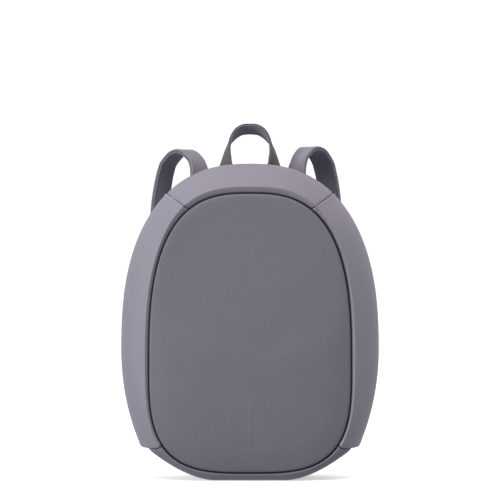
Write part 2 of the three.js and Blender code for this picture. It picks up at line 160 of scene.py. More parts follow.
# Top and side bands: smooth grey leather over thin foam, cut as three pieces. They are sewn to each
# other at two upper seams, fold crisply where they turn down to the piping, and the side bands end
# in turned-in lower corners that stand a little proud of the base.
STEPS_ROUND = 288
ROWS_PER_GAP = 4
BAND_WALL = 2.0 * MM
SEAM_ANGLE = math.radians(63.7)
SEAM_TILT = math.radians(36.3)
SEAM_GAP = 0.3 * MM
BASE_SEAM_HEIGHT = 34 * MM
SEAM_HOOK = 5 * MM
SEAM_HOOK_WIDTH = 12 * MM
CORNER_LEDGE = 9 * MM
HEM_DEPTH = 6 * MM
HEM_START = 10 * MM
HEM_REACH = 1 * MM
GROOVE_HALF = 1.25 * MM
SEAM_HALF = 0.8 * MM
ZIP_SEAM_GAP = 0.3 * MM
WIDEST_HEIGHT = 141 * MM
FLANK_DROP = 200 * MM
HUB_HEIGHT = 126 * MM
BODY_DEPTH = 105 * MM
FRONT_PLANE = -BODY_DEPTH / 2
BACK_PLANE = BODY_DEPTH / 2
BODY_MIDDLE = Vector((0, 0, HUB_HEIGHT))
TOP_FULLNESS = 2.43
FLANK_FULLNESS = 2
BACK_FOOT_FULLNESS = 2.6
PANEL_TOP_FULLNESS = 2.8
PANEL_FOOT_FULLNESS = 3.3
TOP_SLOPE = (math.sin(math.radians(50)), math.sin(math.radians(74)))
SIDE_CREST_PULL = 0.75
SMOOTH_GREY = (108, 105, 116)
Row = namedtuple("Row", "reach depth top")
Edge = namedtuple("Edge", "inside lift")


def level(reach, depth):
    return Row(reach, depth, depth)


# reach is the share of the way from the groove, or from the back edge, out to the widest line;
# depth is the share of the body's depth behind its foremost point, and top the same on the top band.
# On the sides the crest lies nearer to the groove.
BAND_FRONT = [
    level(0.000, 0.108), level(0.012, 0.100), Row(0.045, 0.096, 0.0940), Row(0.100, 0.089, 0.0862),
    Row(0.160, 0.081, 0.0790), Row(0.188, 0.078, 0.0772), Row(0.202, 0.0785, 0.0800),
    Row(0.230, 0.082, 0.0905), Row(0.310, 0.097, 0.122), Row(0.480, 0.142, 0.196),
    Row(0.660, 0.212, 0.284), Row(0.830, 0.316, 0.382), Row(0.950, 0.465, 0.500),
]
BAND_BACK = [level(1.00, 0.660), level(0.96, 0.740), level(0.82, 0.820), level(0.48, 0.893), level(0, 0.925)]

# How a leather edge is shaped beside a seam: how far inside the cut, and how far out of the surface.
FOLDED_EDGE = [Edge(0.0, -0.80), Edge(0.25, 0.05), Edge(0.6, 0.50), Edge(1.2, 0.62), Edge(2.4, 0.38),
               Edge(4.5, 0.0)]
PLAIN_EDGE = [Edge(0.0, 0.0)]
TUCKED_EDGE = [Edge(0.0, -1.10), Edge(0.5, -0.75), Edge(1.2, -0.45), Edge(2.4, -0.18), Edge(4.5, 0.0)]
HEM_EDGE = [Edge(0.0, -1.30), Edge(0.35, -0.60), Edge(0.9, -0.20), Edge(1.8, 0.15), Edge(3.0, 0.30),
            Edge(5.5, 0.20), Edge(9.0, 0.0)]


@functools.cache
def node_box(node):
    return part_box(node)


def egg(half_width, middle, top, bottom, top_fullness, bottom_fullness):
    """An outline seen from the front, as a test of whether a point lies inside it. Each half is an
    ellipse at fullness 2, and squarer above it."""
    def inside(x, z):
        power = top_fullness if z > middle else bottom_fullness
        span = top - middle if z > middle else middle - bottom
        return (abs(x) / half_width) ** power + (abs(z - middle) / span) ** power < 1
    return inside


def body_outline(inset=0.0):
    half_width = node_box("gusset_right")[1].x - inset
    top = node_box("gusset_top")[1].z
    return egg(half_width, WIDEST_HEIGHT, top, WIDEST_HEIGHT - FLANK_DROP,
               TOP_FULLNESS, FLANK_FULLNESS)


def panel_outline(inset=0.0):
    low, high = node_box("front_panel")
    grown = GROOVE_HALF - inset
    return egg(high.x + grown, HUB_HEIGHT, high.z + grown, low.z - grown,
               PANEL_TOP_FULLNESS, PANEL_FOOT_FULLNESS)


def back_outline(inset=0.0):
    low, high = node_box("zip_band")
    grown = ZIP_SEAM_GAP - inset
    return egg(high.x + grown, WIDEST_HEIGHT, high.z + grown, low.z - grown,
               TOP_FULLNESS, BACK_FOOT_FULLNESS)


def reach_of(inside, angle):
    """How far an outline lies from the hub at an angle."""
    near, far = 0.0, 1.0
    for _ in range(30):
        middle = (near + far) / 2
        if inside(middle * math.cos(angle), HUB_HEIGHT + middle * math.sin(angle)):
            near = middle
        else:
            far = middle
    return near


def point_at(angle, reach, depth):
    return Vector((reach * math.cos(angle), depth, HUB_HEIGHT + reach * math.sin(angle)))


def round_angles(steps):
    return [2 * math.pi * i / steps for i in range(steps)]


def top_share(angle, slope):
    """How far a line round the bag belongs to its top: 0 on the sides and 1 at the top's middle."""
    start, full = slope
    climb = min(max((math.sin(angle) - start) / (full - start), 0.0), 1.0)
    return climb * climb * (3 - 2 * climb)


def smooth_rows(rows, per_gap):
    """Rows between the given ones, on a smooth curve through them."""
    made = []
    for i in range(len(rows) - 1):
        around = [rows[max(i - 1, 0)], rows[i], rows[i + 1], rows[min(i + 2, len(rows) - 1)]]
        for step in range(per_gap):
            t = step / per_gap
            weights = (-t + 2 * t * t - t ** 3, 2 - 5 * t * t + 3 * t ** 3,
                       t + 4 * t * t - 3 * t ** 3, t ** 3 - t * t)
            columns = zip(*around)
            made.append(type(rows[0])(*(sum(w * v for w, v in zip(weights, column)) / 2
                                        for column in columns)))
    return made + [rows[-1]]


def band_loops(outline, front_rows, back_rows):
    """Loops round the bag, one for each row of the section."""
    front = smooth_rows(front_rows + back_rows[:1], ROWS_PER_GAP)
    back = smooth_rows(back_rows, ROWS_PER_GAP)[1:]
    angles = round_angles(STEPS_ROUND)
    rims = [reach_of(panel_outline(), a) + SEAM_HALF for a in angles]
    widest = [reach_of(outline, a) for a in angles]
    backs = [reach_of(back_outline(), a) for a in angles]
    tops = [top_share(a, TOP_SLOPE) for a in angles]

    def loop(row, starts, pull):
        depths = [FRONT_PLANE + BODY_DEPTH * (row.depth + t * (row.top - row.depth)) for t in tops]
        shares = [row.reach * (1 - pull * (1 - t) * (1 - row.reach) ** 2) for t in tops]
        return [point_at(a, s + share * (w - s), d)
                for a, s, w, d, share in zip(angles, starts, widest, depths, shares)]

    return [loop(row, rims, SIDE_CREST_PULL) for row in front] + [loop(row, backs, 0.0) for row in back]


def skin(loops, ends="open", lengths=None):
    """A surface through loops: a circle is laid on the first and extruded on to each next one.
    lengths are the distances round and along it, in millimetres, kept as its UV map."""
    form = bmesh.new()
    bmesh.ops.create_circle(form, segments=len(loops[0]), radius=1)
    mark = form.verts.layers.int.new("mark")
    row = form.verts.layers.int.new("row")
    for i, corner in enumerate(form.verts):
        corner[mark] = i
    ring = list(form.edges)
    corners = list(form.verts)
    rings = []
    for step, loop in enumerate(loops):
        if step:
            made = bmesh.ops.extrude_edge_only(form, edges=ring)["geom"]
            corners = [g for g in made if isinstance(g, bmesh.types.BMVert)]
            fresh = set(corners)
            ring = [g for g in made if isinstance(g, bmesh.types.BMEdge) and set(g.verts) <= fresh]
        for corner in corners:
            corner.co = loop[corner[mark]]
            corner[row] = step
        rings.append(ring)
    if ends == "capped":
        for edges in (rings[0], rings[-1]):
            bmesh.ops.contextual_create(form, geom=edges)
    if ends == "joined":
        bmesh.ops.bridge_loops(form, edges=rings[0] + rings[-1])
    if lengths:
        lay_lengths(form, mark, row, *lengths)
    return form


def lay_lengths(form, mark, row, round_lengths, along_lengths):
    uv = form.loops.layers.uv.new("lengths")
    last = len(round_lengths) - 1
    for surface in form.faces:
        wraps = {0, last - 1} <= {corner[mark] for corner in surface.verts}
        for corner in surface.loops:
            turn = corner.vert[mark]
            turn = last if wraps and turn == 0 else turn
            corner[uv].uv = (round_lengths[turn], along_lengths[corner.vert[row]])


def face_out(form, middle):
    """Turns an open sheet's faces away from a point inside it."""
    form.normal_update()
    out = sum(f.normal.dot(f.calc_center_median() - middle) * f.calc_area() for f in form.faces)
    if out < 0:
        bmesh.ops.reverse_faces(form, faces=form.faces)
    form.normal_update()


def cut_at(form, place, away, profile):
    """Cuts a sheet off at a plane, and adds lines of corners beside the cut for its edge's shape."""
    for edge in profile:
        whole = form.verts[:] + form.edges[:] + form.faces[:]
        bmesh.ops.bisect_plane(form, geom=whole, dist=1e-7, plane_co=place - away * edge.inside * MM,
                               plane_no=away, clear_outer=edge is profile[0])


def lift_at(profile, inside):
    for a, b in zip(profile, profile[1:]):
        if inside < b.inside:
            return a.lift + (b.lift - a.lift) * max(inside - a.inside, 0) / (b.inside - a.inside)
    return 0.0


def shape_edge(form, place, away, profile):
    """Rolls and folds the leather beside a cut."""
    form.normal_update()
    for corner in form.verts:
        inside = (place - corner.co).dot(away) / MM
        corner.co = corner.co + corner.normal * lift_at(profile, inside) * MM


def place_piece(name, mesh, material):
    mesh.materials.append(material)
    piece = bpy.data.objects.new(name, mesh)
    scene.collection.objects.link(piece)
    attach(piece, "root")
    return piece


def place_form(name, form, material, smooth=True):
    for surface in form.faces:
        surface.smooth = smooth
    mesh = bpy.data.meshes.new(name)
    form.to_mesh(mesh)
    form.free()
    return place_piece(name, mesh, material)


def thicken(piece, wall):
    solid = piece.modifiers.new("wall", "SOLIDIFY")
    solid.thickness = wall
    solid.offset = -1
    solid.use_rim = True


def shade(colour, light=1.0):
    """A screen colour of 0 to 255 as the linear colour that a shader takes."""
    return tuple(light * (c / 255 / 12.92 if c < 10 else ((c / 255 + 0.055) / 1.055) ** 2.4)
                 for c in colour) + (1,)


def new_finish(name, roughness, specular, sheen=0.0):
    """A material with its uniform values set, the wire that its pattern starts from, its places on
    the object, and its shader."""
    material = bpy.data.materials.new(name)
    material.use_nodes = True
    shader = material.node_tree.nodes["Principled BSDF"]
    shader.inputs["Roughness"].default_value = roughness
    shader.inputs["Specular IOR Level"].default_value = specular
    shader.inputs["Sheen Weight"].default_value = sheen
    wire = Wire(material.node_tree)
    return material, wire, wire.node("ShaderNodeTexCoord", output=3), shader


def link(wire, shader, socket):
    wire.tree.links.new(wire.socket, shader.inputs[socket])


def toned(tone, colour, contrast, shader):
    """Colours a surface from a little darker to a little lighter than its colour."""
    mixed = tone.node("ShaderNodeMix", {"data_type": "RGBA"},
                      {"Factor": tone, 6: shade(colour, 1 - contrast), 7: shade(colour, 1 + contrast)}, 2)
    link(mixed, shader, "Base Color")


def bumped(height, relief, shader):
    bump = height.node("ShaderNodeBump", (), {"Height": height, "Strength": 0.8, "Distance": relief})
    link(bump, shader, "Normal")


def noise(wire, place, scale, detail=2.0, output=0):
    return wire.node("ShaderNodeTexNoise", (), {"Vector": place, "Scale": scale, "Detail": detail}, output)


def rise(value, low, high):
    """From 0 below low to 1 above high, smoothly."""
    return value.node("ShaderNodeMapRange", {"interpolation_type": "SMOOTHSTEP"},
                      {"Value": value, "From Min": low, "From Max": high})


def leather(name, colour, grain, relief, roughness, contrast):
    """Coated leather: small pebbles parted by fine creases, with cloudy colour and gloss."""
    material, wire, place, shader = new_finish(name, roughness, specular=0.28)
    bent = wire.node("ShaderNodeVectorMath", {"operation": "MULTIPLY_ADD"},
                     {0: noise(wire, place, 0.35 / grain, output=1), 1: (grain * 0.6,) * 3, 2: place})
    crease = wire.node("ShaderNodeTexVoronoi", {"feature": "DISTANCE_TO_EDGE"},
                       {"Vector": bent, "Scale": 1 / grain})
    pebble = rise(crease, 0.0, 0.22)
    pore = noise(wire, place, 2.2 / grain, 3.0)
    cloud = noise(wire, place, 24.0, 5.0)
    patch = noise(wire, place, 0.4 / grain)
    bumped(pebble * 0.75 + pore * 0.35 + patch * 0.3, relief, shader)
    toned(cloud * 0.35 + patch * 0.35 + pebble * 0.3, colour, contrast, shader)
    link(roughness - 0.05 + cloud * 0.10 + (1 - pebble) * 0.08, shader, "Roughness")
    return material


def seam_plane(side):
    """A point on an upper seam, and the way across it towards the side band."""
    reach = reach_of(body_outline(), SEAM_ANGLE)
    place = Vector((side * reach * math.cos(SEAM_ANGLE), 0, HUB_HEIGHT + reach * math.sin(SEAM_ANGLE)))
    return place, Vector((side * math.sin(SEAM_TILT), 0, -math.cos(SEAM_TILT)))


def upper_cut(form, side, keep_top):
    place, away = seam_plane(side)
    away = away if keep_top else -away
    profile = TUCKED_EDGE if keep_top else FOLDED_EDGE
    place = place - away * SEAM_GAP / 2
    cut_at(form, place, away, profile)
    shape_edge(form, place, away, profile)


def hook_lift(corner):
    """How far the lower seam climbs where it nears the piping."""
    across = corner.co - BODY_MIDDLE
    angle = math.atan2(across.z, across.x)
    out = math.hypot(across.x, across.z) - reach_of(panel_outline(), angle)
    return SEAM_HOOK * max(0.0, 1 - max(out, 0) / SEAM_HOOK_WIDTH) ** 2


def cut_lower_seam(form, away, profile):
    """Cuts along the lower seam, level but for its climb beside the piping, and shapes the edge."""
    lift = form.verts.layers.float.new("lift")
    for corner in form.verts:
        near_front = corner.co.z < 2 * BASE_SEAM_HEIGHT and corner.co.y < 0
        corner[lift] = hook_lift(corner) if near_front else 0.0
        corner.co.z -= corner[lift]
    place = Vector((0, 0, BASE_SEAM_HEIGHT)) - away * SEAM_GAP
    cut_at(form, place, away, profile)
    shape_edge(form, place, away, profile)
    for corner in form.verts:
        corner.co.z += corner[lift]


def turn_hem(form):
    """Lays the side band's turned-in foot on the base's rim."""
    low = BASE_SEAM_HEIGHT + SEAM_HOOK + HEM_REACH
    foot = [e for e in form.edges if e.is_boundary and all(v.co.z < low for v in e.verts)
            and all(abs(v.co.y - FRONT_PLANE) > HEM_START for v in e.verts)]
    made = bmesh.ops.extrude_edge_only(form, edges=foot)["geom"]
    for corner in made:
        if isinstance(corner, bmesh.types.BMVert):
            corner.co.x -= math.copysign(HEM_DEPTH, corner.co.x)


def band(name, side):
    form = skin(band_loops(body_outline(), BAND_FRONT, BAND_BACK))
    face_out(form, BODY_MIDDLE)
    if side == 0:
        upper_cut(form, -1, True)
        upper_cut(form, 1, True)
    else:
        cut_at(form, Vector(), Vector((-side, 0, 0)), PLAIN_EDGE)
        upper_cut(form, side, False)
        cut_lower_seam(form, Vector((0, 0, -1)), HEM_EDGE)
        turn_hem(form)
    form.normal_update()
    surface = BVHTree.FromBMesh(form)
    piece = place_form(name, form, smooth_leather)
    thicken(piece, BAND_WALL)
    return piece, surface


smooth_leather = leather("smooth_leather", SMOOTH_GREY, grain=0.8 * MM, relief=0.05 * MM,
                         roughness=0.55, contrast=0.10)
band_surfaces = {}
for side, node in ((0, "gusset_top"), (-1, "gusset_left"), (1, "gusset_right")):
    band_piece, band_surfaces[side] = band(node + "_leather", side)
    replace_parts(band_piece, node)

# Seam stitches: rows of fine thread that run beside both upper seams, a grey one in the top band and
# a pale one close to the side band's folded edge, whose pale colour is a painted highlight along that
# fold. Each stitch is a short rounded bar, half sunk in the leather.
THREAD_GREY = (92, 89, 99)
# The pale thread's colour is a painted highlight on the side band's folded edge.
THREAD_PAINTED_HIGHLIGHT = (186, 184, 187)
STITCH_PITCH = 3.0 * MM
STITCH_SIZE = (2.2 * MM, 0.55 * MM, 0.55 * MM)
STITCH_INSET = 2.1 * MM
FOLD_INSET = 0.9 * MM
STITCH_SWEEP = (0.4, 2.9)
STITCH_STEPS = 400
SEAM_SIGHT = 60 * MM


def sewing_thread(name, colour):
    """Twisted thread: fine uneven relief and tone."""
    material, wire, place, shader = new_finish(name, roughness=0.7, specular=0.2)
    twist = noise(wire, place, 1800.0)
    toned(twist, colour, 0.2, shader)
    bumped(twist, 0.05 * MM, shader)
    return material


def spaced(line, pitch):
    """Places a pitch apart along a line of (place, normal) points, each with the way along it."""
    made = []
    gone = pitch / 2
    for (a, normal), (b, _) in zip(line, line[1:]):
        step = (b - a).length
        while gone < step:
            made.append((a.lerp(b, gone / step), (b - a).normalized(), normal))
            gone += pitch
        gone -= step
    return made


def copies(name, template, stops, material):
    """One mesh of many small copies of a shape: its X runs along the line and its Z out of the
    surface at each stop."""
    template.verts.index_update()
    shape = np.array([tuple(corner.co) for corner in template.verts])
    faces = [[corner.index for corner in surface.verts] for surface in template.faces]
    template.free()
    places = []
    for place, along, normal in stops:
        across = normal.cross(along).normalized()
        turn = np.array([along, across, along.cross(across)])
        places.append(shape @ turn + np.array(place))
    mesh = bpy.data.meshes.new(name)
    mesh.from_pydata(np.concatenate(places).tolist(), [],
                     [[i + k * len(shape) for i in face] for k in range(len(stops)) for face in faces])
    mesh.shade_smooth()
    return place_piece(name, mesh, material)


def stitch_form():
    form = bmesh.new()
    bmesh.ops.create_uvsphere(form, u_segments=6, v_segments=5, radius=0.5)
    bmesh.ops.rotate(form, verts=form.verts, matrix=Matrix.Rotation(math.pi / 2, 3, "Y"))
    bmesh.ops.scale(form, verts=form.verts, vec=STITCH_SIZE)
    return form


def seam_line(side, on_top):
    """The line on a band's surface that keeps a set distance from its upper seam, front to back."""
    place, away = seam_plane(side)
    away = away if on_top else -away
    surface = band_surfaces[0 if on_top else side]
    inner = BODY_MIDDLE + Vector((0, 0, SEAM_SIGHT))
    inset = STITCH_INSET if on_top else FOLD_INSET
    inner = inner - away * ((inner - place).dot(away) + inset)
    up = (place - away * inset - inner).normalized()
    start, end = STITCH_SWEEP
    line = []
    for i in range(STITCH_STEPS):
        angle = start + (end - start) * i / STITCH_STEPS
        aim = up * math.sin(angle) + Vector((0, -math.cos(angle), 0))
        hit, normal, _, _ = surface.ray_cast(inner, aim)
        if hit:
            line.append((hit, normal if normal.dot(aim) > 0 else -normal))
    return line


thread = sewing_thread("grey_thread", THREAD_GREY)
# The stitches by the fold are real, and their pale colour is a painted highlight on the folded edge.
fold_highlight_thread = sewing_thread("fold_highlight_thread", THREAD_PAINTED_HIGHLIGHT)
for name, on_top, yarn in (("seam_stitches", True, thread), ("fold_highlight_stitches", False, fold_highlight_thread)):
    seam_stops = [stop for side in (-1, 1) for stop in spaced(seam_line(side, on_top), STITCH_PITCH)]
    copies(name, stitch_form(), seam_stops, yarn)

# Base panel: the same kind of leather, one piece from corner to corner under the front panel. Its darker
# tone is painted shade from the floor. It is flat in the middle, where the bag stands on it, and rises
# to the lower seams, where it is tucked in.
# Darker than the bands' leather: painted shade from the floor under the base.
BASE_GREY_PAINTED_SHADE = (94, 92, 103)
BASE_FLAT_HALF = 40 * MM
BASE_CURVE = 1.667
BASE_FRONT = [
    level(0.00, 0.130), level(0.02, 0.110), level(0.08, 0.096), level(0.22, 0.087), level(0.40, 0.092),
    level(0.60, 0.110), level(0.80, 0.142), level(0.93, 0.180),
]
BASE_BACK = [level(1.0, 0.240), level(1.0, 0.500), level(1.0, 0.790), level(0.93, 0.850),
             level(0.6, 0.900), level(0.0, 0.925)]


def base_outline():
    fall = (WIDEST_HEIGHT - BASE_SEAM_HEIGHT) / FLANK_DROP
    outer = node_box("gusset_right")[1].x * math.sqrt(1 - fall * fall) - CORNER_LEDGE
    in_body = body_outline(CORNER_LEDGE)

    def inside(x, z):
        out = max(abs(x) - BASE_FLAT_HALF, 0) / (outer - BASE_FLAT_HALF)
        return in_body(x, z) and z > BASE_SEAM_HEIGHT * out ** BASE_CURVE
    return inside


base_form = skin(band_loops(base_outline(), BASE_FRONT, BASE_BACK))
face_out(base_form, BODY_MIDDLE)
cut_lower_seam(base_form, Vector((0, 0, 1)), TUCKED_EDGE)
# This leather's darker colour is painted shade from the floor.
base_leather_painted_shade = leather("base_leather_painted_shade", BASE_GREY_PAINTED_SHADE, grain=0.8 * MM, relief=0.05 * MM,
                       roughness=0.6, contrast=0.10)
base = place_form("base_panel_leather", base_form, base_leather_painted_shade)
thicken(base, BAND_WALL)
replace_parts(base, "base_panel")

# Front panel: a stiff, gently domed shell under pebbled leather, with a soft edge that dips into the
# groove. It stands upright towards its top. It is sewn in all round with the piping.
PANEL_GREY = (88, 86, 97)
PANEL_WALL = 2.4 * MM
PANEL_EDGE = FRONT_PLANE + 10 * MM
PANEL_TOP_SLOPE = (0.2, 0.97)
PANEL_ROWS = [
    Row(0.994, 0.1140, 0.1140), Row(0.999, 0.0933, 0.0900), Row(0.995, 0.0829, 0.0680),
    Row(0.978, 0.0724, 0.0615), Row(0.940, 0.0610, 0.0612), Row(0.880, 0.0457, 0.0620),
    Row(0.780, 0.0276, 0.0610), Row(0.580, 0.0105, 0.0450), Row(0.300, 0.0019, 0.0140), level(0.020, 0.0),
]

panel_leather = leather("panel_leather", PANEL_GREY, grain=1.25 * MM, relief=0.10 * MM,
                        roughness=0.62, contrast=0.16)
angles = round_angles(STEPS_ROUND)
panel_reaches = [reach_of(panel_outline(SEAM_HALF), a) for a in angles]
panel_tops = [top_share(a, PANEL_TOP_SLOPE) for a in angles]
panel_form = skin([
    [point_at(a, row.reach * r, FRONT_PLANE + BODY_DEPTH * (row.depth + t * (row.top - row.depth)))
     for a, r, t in zip(angles, panel_reaches, panel_tops)]
    for row in smooth_rows(PANEL_ROWS, 3)
])
bmesh.ops.contextual_create(panel_form, geom=[e for e in panel_form.edges if e.is_boundary
                                              and e.verts[0].co.y < (FRONT_PLANE + PANEL_EDGE) / 2])
face_out(panel_form, BODY_MIDDLE)
panel_surface = BVHTree.FromBMesh(panel_form)
panel = place_form("front_panel_leather", panel_form, panel_leather)
thicken(panel, PANEL_WALL)
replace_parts(panel, "front_panel")

# Piping: a thin near-black covered cord, caught in the seam between the front panel and the bands.
# Its cover is a plain close fabric, whose sewn-in tail behind the cord fills the groove.
PIPING_RADIUS = 0.75 * MM
PIPING_TAIL = 2.0 * MM
PIPING_SIDES = 10
PIPING_BLACK = (30, 29, 36)


def place_closed(name, form, material, smooth=True):
    """Places a closed form, with its faces turned outwards."""
    bmesh.ops.recalc_face_normals(form, faces=form.faces)
    return place_form(name, form, material, smooth)


def fabric(name, colour, fineness, relief, roughness, contrast, sheen=0.0):
    """Close fabric without a clear weave: fine knots, a little fuzz and a cloudy colour."""
    material, wire, place, shader = new_finish(name, roughness, specular=0.2, sheen=sheen)
    fuzz = noise(wire, place, 1 / fineness, 4.0)
    knots = wire.node("ShaderNodeTexVoronoi", (), {"Vector": place, "Scale": 1 / fineness})
    bumped(fuzz * 0.5 + (1 - knots) * 0.5, relief, shader)
    toned(fuzz * 0.5 + noise(wire, place, 30.0, 3.0) * 0.5, colour, contrast, shader)
    link(roughness - 0.04 + fuzz * 0.08, shader, "Roughness")
    return material


piping_cloth = fabric("piping_cloth", PIPING_BLACK, 0.5 * MM, 0.05 * MM, 0.65, 0.2)
piping_reaches = [reach_of(panel_outline(), a) for a in angles]
piping_loops = []
for turn in round_angles(PIPING_SIDES):
    off = math.cos(turn) * (PIPING_TAIL if math.sin(turn) > 0.1 else PIPING_RADIUS)
    depth = PANEL_EDGE + PIPING_RADIUS * (1 + math.sin(turn))
    piping_loops.append([point_at(a, r + off, depth) for a, r in zip(angles, piping_reaches)])
piping_form = skin(piping_loops, "joined")
piping = place_closed("front_piping_cord", piping_form, piping_cloth)
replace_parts(piping, "front_piping")

# Accent strip: a thin upright inlay of dull pewter-coloured film, pressed into the panel low on its
# middle line.
ACCENT_TONE = (97, 95, 98)
ACCENT_HALF = 0.75 * MM
ACCENT_PROUD = 0.28 * MM
ACCENT_SUNK = 0.5 * MM
ACCENT_STEPS = 40
ACCENT_SECTION = [(-1.0, -ACCENT_SUNK), (-1.0, 0.0), (-0.8, ACCENT_PROUD), (0.8, ACCENT_PROUD),
                  (1.0, 0.0), (1.0, -ACCENT_SUNK)]

accent_low, accent_high = node_box("accent_strip")
accent_loops = []
for i in range(ACCENT_STEPS + 1):
    height = accent_low.z + (accent_high.z - accent_low.z) * i / ACCENT_STEPS
    face, _, _, _ = panel_surface.ray_cast(Vector((0, -1, height)), Vector((0, 1, 0)))
    accent_loops.append([Vector((x * ACCENT_HALF, face.y - out, height)) for x, out in ACCENT_SECTION])
accent_form = skin(accent_loops, "capped")
accent_film, accent_wire, accent_place, accent_shader = new_finish(
    "accent_film", roughness=0.42, specular=0.4)
accent_grain = noise(accent_wire, accent_place, 900.0, 3.0)
toned(accent_grain, ACCENT_TONE, 0.1, accent_shader)
link(0.34 + accent_grain * 0.16, accent_shader, "Roughness")
accent = place_closed("accent_strip_film", accent_form, accent_film, smooth=False)
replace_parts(accent, "accent_strip")

# Zip: a dark woven tape sewn between the bands and the back, with plastic teeth along its middle.
# Its one slider, with a plain pull, is parked low on the right side.
TAPE_GREY = (46, 45, 52)
TAPE_EDGE = 0.3 * MM
TAPE_WIDTH = 7.7 * MM
TAPE_RIB = 0.25 * MM
TOOTH_GREY = (38, 38, 42)
TOOTH_PITCH = 2.4 * MM
TOOTH_SIZE = (1.3 * MM, 3.0 * MM, 1.2 * MM)
TOOTH_ROUND = 0.3 * MM
ZIP_MIDDLE = 4.15 * MM
WAVE_PITCH = 0.314


def weave(name, colour, pitch, relief, roughness, ribs):
    """Woven cloth with threads along and across the piece; ribs is how far apart the cross threads
    lie, in pitches. A wave node's bands lie WAVE_PITCH apart at scale 1."""
    material, wire, place, shader = new_finish(name, roughness, specular=0.25)
    lengths = wire.node("ShaderNodeUVMap", {"uv_map": "lengths"})
    threads = []
    for direction, spacing in (("X", pitch), ("Y", pitch * ribs)):
        threads.append(wire.node("ShaderNodeTexWave", {"bands_direction": direction},
                                 {"Vector": lengths, "Scale": WAVE_PITCH / spacing, "Distortion": 0.3}, 1))
    fuzz = noise(wire, place, 900.0, 3.0)
    raised = threads[0] * 0.45 + threads[1] * 0.55
    bumped(raised + fuzz * 0.3, relief, shader)
    toned(raised * 0.6 + fuzz * 0.4, colour, 0.28, shader)
    link(roughness - 0.04 + fuzz * 0.08, shader, "Roughness")
    return material


def round_lengths(points):
    """Distances round a closed line, in millimetres, back to its first point."""
    made = [0.0]
    for a, b in zip(points, points[1:] + points[:1]):
        made.append(made[-1] + (Vector(b) - Vector(a)).length / MM)
    return made


tape_low, tape_high = node_box("zip_band")
# Places across the tape, as shares of its width, and their depths. A low rib lies under the teeth.
tape_section = [(0.0, tape_low.y), (0.0, tape_high.y), (0.28, tape_high.y), (0.34, tape_high.y + TAPE_RIB),
                (0.66, tape_high.y + TAPE_RIB), (0.72, tape_high.y), (1.0, tape_high.y), (1.0, tape_low.y)]
outer_reaches = [reach_of(back_outline(TAPE_EDGE), a) for a in angles]
inner_reaches = [reach_of(back_outline(TAPE_EDGE + TAPE_WIDTH), a) for a in angles]
tape_loops = [[point_at(a, o + (i - o) * across, depth)
               for a, o, i in zip(angles, outer_reaches, inner_reaches)]
              for across, depth in tape_section]
tape_across = [across * TAPE_WIDTH / MM for across, _ in tape_section]
tape_form = skin(tape_loops, "joined", (round_lengths(tape_loops[1]), tape_across))
zip_tape = weave("zip_tape_weave", TAPE_GREY, 0.9, 0.08 * MM, 0.8, 0.8)
tape = place_closed("zip_band_tape", tape_form, zip_tape)
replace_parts(tape, "zip_band")

tooth_plastic, tooth_wire, tooth_place, tooth_shader = new_finish(
    "tooth_plastic", roughness=0.4, specular=0.5)
tooth_wear = noise(tooth_wire, tooth_place, 400.0)
toned(tooth_wear, TOOTH_GREY, 0.25, tooth_shader)
link(0.3 + tooth_wear * 0.2, tooth_shader, "Roughness")
zip_middle = back_outline(ZIP_MIDDLE)
zip_line = [(point_at(a, reach_of(zip_middle, a), tape_high.y + TOOTH_SIZE[2] / 2), Vector((0, 1, 0)))
            for a in round_angles(4 * STEPS_ROUND)]
tooth_form = bmesh.new()
bmesh.ops.create_cube(tooth_form, size=1)
bmesh.ops.scale(tooth_form, verts=tooth_form.verts, vec=TOOTH_SIZE)
bmesh.ops.bevel(tooth_form, geom=tooth_form.edges[:], offset=TOOTH_ROUND, offset_type="OFFSET",
                affect="EDGES", segments=1, profile=0.5, material=-1)
copies("zip_teeth", tooth_form, spaced(zip_line + zip_line[:1], TOOTH_PITCH), tooth_plastic)

DARK_PLASTIC = (40, 40, 44)
PULL_ROUND = 0.9 * MM
PULL_SHORT = 6 * MM
RUNNER_LENGTH = 9 * MM
RUNNER_LIFT = 0.3 * MM
RUNNER_MORE = Vector((0.8, 0.6, 1.5)) * MM
RUNNER_ROUND = 1.1 * MM


def rounded_box(form, low, high, rounding):
    """Adds a box with rounded edges between two corners."""
    made = bmesh.ops.create_cube(form, size=1)["verts"]
    bmesh.ops.scale(form, verts=made, vec=high - low)
    bmesh.ops.translate(form, verts=made, vec=(low + high) / 2)
    edges = list({e for v in made for e in v.link_edges})
    bmesh.ops.bevel(form, geom=edges, offset=rounding, offset_type="OFFSET", affect="EDGES", segments=3,
                    profile=0.5, material=-1)


dark_plastic, plastic_wire, plastic_place, plastic_shader = new_finish(
    "dark_plastic", roughness=0.45, specular=0.5)
plastic_grain = noise(plastic_wire, plastic_place, 1500.0)
toned(noise(plastic_wire, plastic_place, 60.0), DARK_PLASTIC, 0.18, plastic_shader)
link(0.38 + plastic_grain * 0.14, plastic_shader, "Roughness")
bumped(plastic_grain, 0.02 * MM, plastic_shader)

pull_low, pull_high = node_box("zip_pull")
pull_form = bmesh.new()
rounded_box(pull_form, pull_low, pull_high - Vector((0, 0, PULL_SHORT)), PULL_ROUND)
runner_low = Vector((pull_low.x - RUNNER_MORE.x, tape_high.y + RUNNER_LIFT, pull_high.z - RUNNER_LENGTH))
rounded_box(pull_form, runner_low, pull_high + RUNNER_MORE, RUNNER_ROUND)
pull = place_closed("zip_pull_runner", pull_form, dark_plastic)
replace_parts(pull, "zip_pull")

